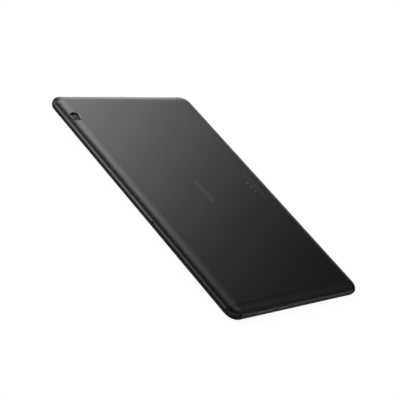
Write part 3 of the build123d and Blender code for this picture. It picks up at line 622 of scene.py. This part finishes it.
def cut_flat(name, outlines, low, high, material, body, place=Matrix()):
    """A thin flat piece cut to its outlines. Outlines inside others are openings."""
    curve = bpy.data.curves.new(name, "CURVE")
    curve.dimensions = "2D"
    curve.fill_mode = "BOTH"
    curve.extrude = (high - low) / 2
    for outline in outlines:
        line = curve.splines.new("POLY")
        line.points.add(len(outline) - 1)
        for point, (x, y) in zip(line.points, outline):
            point.co = (x, y, 0, 1)
        line.use_cyclic_u = True
    holder = bpy.data.objects.new(name, curve)
    mesh = bpy.data.meshes.new_from_object(holder)
    bpy.data.objects.remove(holder)
    mesh.transform(place @ Matrix.Translation((0, 0, (low + high) / 2)))
    return add_piece(name, mesh, material, body)


def arc_points(x, y, radius, start, end, count):
    angles = [math.radians(start + (end - start) * step / count) for step in range(count + 1)]
    return [(x + radius * math.cos(angle), y + radius * math.sin(angle)) for angle in angles]


def circle(x, y, radius, count=64):
    return arc_points(x, y, radius, 0, 360, count)[:-1]


def rounded_box(x, y, half_x, half_y, radius, count=12):
    """Outline of a rectangle with rounded corners. Half the width gives a capsule."""
    hub_x, hub_y = half_x - radius, half_y - radius
    points = []
    for side_x, side_y, start in ((1, 1, 0), (-1, 1, 90), (-1, -1, 180), (1, -1, 270)):
        points += arc_points(x + side_x * hub_x, y + side_y * hub_y, radius, start,
                             start + 90, count)
    return points


def make_back_marks(looks):
    """Plain shapes where the back cover carries its mark and its fine print."""
    z = COVER_HIGH.z
    look = looks["back_mark"]
    x, y = MARK_CENTRE
    half_x, half_y = MARK_HALF
    inner_y = half_y - MARK_STROKE
    mark = [rounded_box(x, y, half_x, half_y, half_y),
            rounded_box(x, y, half_x - MARK_STROKE, inner_y, inner_y)]
    cut_flat("back_mark", mark, z, z + PRINT_THICK, look, "case")
    dashes = []
    for row_y, row_x, lengths in FINE_ROWS:
        x = row_x
        for length in lengths:
            dashes.append(rounded_box(x + length / 2, row_y, length / 2, DASH_HALF, DASH_HALF, 4))
            x += length + DASH_GAP
    for x in DOT_X:
        dashes.append(circle(x, DOT_Y, DOT_R, 24))
    cut_flat("back_fine_print", dashes, z, z + PRINT_THICK, look, "case")


def make_front_print(looks):
    """Black border printed behind the glass, with its clear openings, and the display's
    own front sheet inside it."""
    z = GLASS_HIGH.z - PRINT_DEPTH
    half_x = GLASS_HIGH.x - BORDER_INSET
    half_y = GLASS_HIGH.y - BORDER_INSET
    camera_y = (FRONT_LENS_LOW.y + FRONT_LENS_HIGH.y) / 2
    sensor_x = (SENSOR_LOW.x + SENSOR_HIGH.x) / 2
    border = [rounded_box(0, 0, half_x, half_y, BORDER_CORNER),
              rounded_box(0, 0, ACTIVE_HALF_X, ACTIVE_HALF_Y, ACTIVE_CORNER),
              circle(0, camera_y, FRONT_OPENING_R), circle(sensor_x, camera_y, SENSOR_OPENING_R)]
    cut_flat("bezel_print", border, z - PRINT_THICK, z, looks["print"], "case")
    sheet = [rounded_box(0, 0, ACTIVE_HALF_X + SHEET_LAP, ACTIVE_HALF_Y + SHEET_LAP,
                         ACTIVE_CORNER)]
    cut_flat("display_face", sheet, z + PRINT_THICK, z + 2 * PRINT_THICK, looks["lcd_glass"],
             "case")


def dome(radius, base, rise, steps=10):
    """Profile of a plano-convex lens: flat at the base, its crown the rise away."""
    crown = [(radius * math.cos(math.radians(90 - 90 * step / steps)),
              base + rise * math.sin(math.radians(90 - 90 * step / steps)))
             for step in range(steps + 1)]
    return crown + [(0.0, base)]


def make_lenses(looks):
    """Stepped baffle, front lens and black window print of the rear camera, and the
    lens of the front camera."""
    x = (BARREL_LOW.x + BARREL_HIGH.x) / 2
    y = (BARREL_LOW.y + BARREL_HIGH.y) / 2
    top = BARREL_HIGH.z - BAFFLE_SEAT
    bottom = top - BAFFLE_DROP * BAFFLE_STEPS - BAFFLE_LIP
    steps = [(BAFFLE_R, top)]
    for step in range(BAFFLE_STEPS):
        radius = BAFFLE_R - BAFFLE_LAND - BAFFLE_TREAD * step
        steps += [(radius, top - BAFFLE_DROP * step), (radius, top - BAFFLE_DROP * (step + 1))]
    steps += [(BAFFLE_THROAT_R, steps[-1][1]), (BAFFLE_THROAT_R, bottom)]
    turned("lens_baffle", steps, x, y, looks["black_plastic"], "focus_barrel")
    turned("rear_lens_element", dome(REAR_LENS_R, top - REAR_LENS_SEAT, REAR_LENS_RISE), x, y,
           looks["lens"], "focus_barrel", closed=False)
    annulus = [circle(0, 0, WINDOW_R - WINDOW_INSET), circle(0, 0, WINDOW_OPENING_R)]
    turn = Matrix.Rotation(math.radians(-WINDOW_TILT), 4, "X")
    cut_flat("window_print", annulus, WINDOW_PRINT_Z, WINDOW_PRINT_Z + PRINT_THICK,
             looks["print"], "case", Matrix.Translation(WINDOW_CENTRE) @ turn)
    x = (FRONT_LENS_LOW.x + FRONT_LENS_HIGH.x) / 2
    y = (FRONT_LENS_LOW.y + FRONT_LENS_HIGH.y) / 2
    profile = dome(FRONT_LENS_R, FRONT_LENS_LOW.z + FRONT_LENS_SEAT, -FRONT_LENS_RISE)
    turned("front_lens_element", profile, x, y, looks["lens"], "case", closed=False)


def make_contacts(looks):
    """Gold faces of the five contacts under the tongue of the charging socket."""
    pads = []
    for pin in range(PINS):
        y = (TONGUE_LOW.y + TONGUE_HIGH.y) / 2 + (pin - (PINS - 1) / 2) * PIN_PITCH
        pads.append(rounded_box((PIN_X0 + PIN_X1) / 2, y, (PIN_X1 - PIN_X0) / 2, PIN_HALF,
                                PIN_CORNER, 3))
    cut_flat("usb_contacts", pads, PIN_Z - PIN_THICK, PIN_Z, looks["gold"], "case")


# ---------------------------------------------------------------- run

make_camera()
make_world()
make_floor()
looks = make_looks()
paint_nodes(looks)
make_back_marks(looks)
make_front_print(looks)
make_lenses(looks)
make_contacts(looks)
bpy.context.scene.view_settings.view_transform = "Standard"
